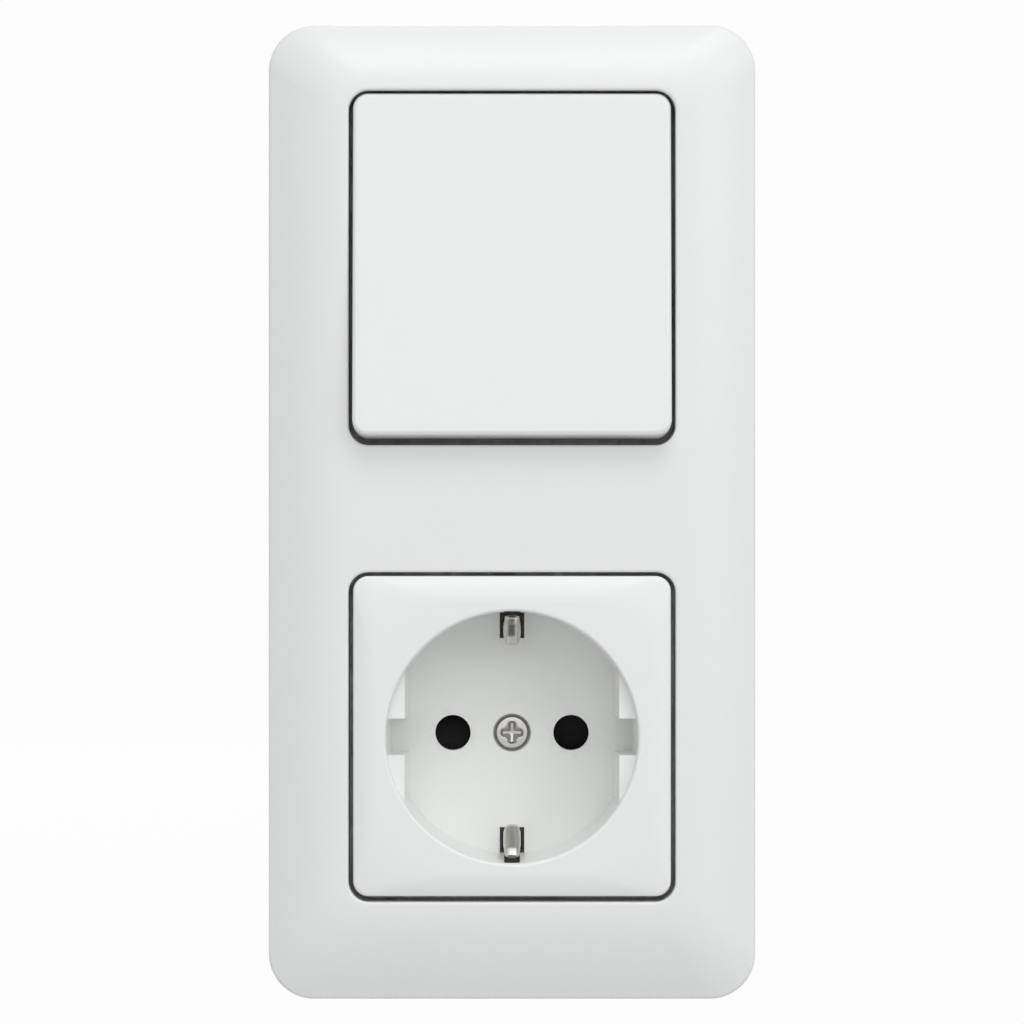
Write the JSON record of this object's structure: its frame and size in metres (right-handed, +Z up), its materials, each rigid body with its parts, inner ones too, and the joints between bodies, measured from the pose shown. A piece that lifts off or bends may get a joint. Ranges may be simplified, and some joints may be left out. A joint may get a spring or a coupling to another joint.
{
  "type": "two-gang rocker light switch and earthed socket outlet",
  "caption": "Flush wall unit: a wide rocker light switch above a round-recess earthed socket outlet, clipped under one domed rectangular cover frame.",
  "frame": {"origin": "The wall plane, at the middle of the four wall box screw slots of the two brackets.", "axes": "+Z up the wall, +X to the right as seen from the room, +Y into the wall; the room is towards -Y."},
  "size_m": [0.0772, 0.0392, 0.1544],
  "materials": {
    "white_gloss": "glossy pure white moulded plastic",
    "grey_moulding": "matt light grey thermoset moulding",
    "dark_moulding": "matt dark grey moulding",
    "zinc_steel": "zinc plated sheet steel",
    "spring_steel": "drawn spring steel",
    "nickel_steel": "bright nickel plated steel",
    "brass": "stamped brass",
    "silver": "silver alloy contact tip"
  },
  "bodies": {
    "root": {"cover_frame": "white_gloss", "socket_cover": "white_gloss", "bearing_deck": "grey_moulding", "switch_base": "grey_moulding", "switch_back_plate": "grey_moulding", "socket_base": "grey_moulding", "socket_back_plate": "grey_moulding", "switch_bracket": "zinc_steel", "socket_bracket": "zinc_steel", "switch_rivets": "zinc_steel", "socket_rivets": "zinc_steel", "shutter_spring": "spring_steel", "wire_springs": "spring_steel", "common_contact": "brass", "upper_fixed_contact": "brass", "lower_fixed_contact": "brass", "fixed_contact_tips": "silver", "centre_screw": "nickel_steel", "earth_bow": "nickel_steel", "terminal_screws": "nickel_steel", "centre_bush": "brass", "line_contact": "brass", "neutral_contact": "brass", "line_terminal": "brass", "neutral_terminal": "brass", "earth_terminal": "brass"},
    "rocker": {"rocker_cap": "white_gloss", "rocker_carrier": "grey_moulding", "plunger": "brass", "plunger_spring": "spring_steel"},
    "changeover": {"moving_contact": "brass", "moving_contact_tips": "silver"},
    "shutter_wings": {"shutter": "dark_moulding"}
  },
  "joints": [
    {"name": "rocker_tilt", "type": "hinge", "parent": "root", "child": "rocker", "pos_m": [0, -0.0065, 0.0355], "axis": [1, 0, 0], "range_deg": [0, 10]},
    {"name": "contact_tilt", "type": "hinge", "parent": "root", "child": "changeover", "pos_m": [0, 0.007, 0.0355], "axis": [1, 0, 0], "range_deg": [-14, 0]},
    {"name": "shutter_turn", "type": "hinge", "parent": "root", "child": "shutter_wings", "pos_m": [0, 0.0095, -0.0355], "axis": [0, -1, 0], "range_deg": [0, 42], "stiffness_Nm_per_rad": 0.002, "springref_deg": -3.44, "deforming": ["shutter_spring"]}
  ],
  "couplings": [
    {"joint": "contact_tilt", "follows": "rocker_tilt", "ratio": -1.4}
  ]
}
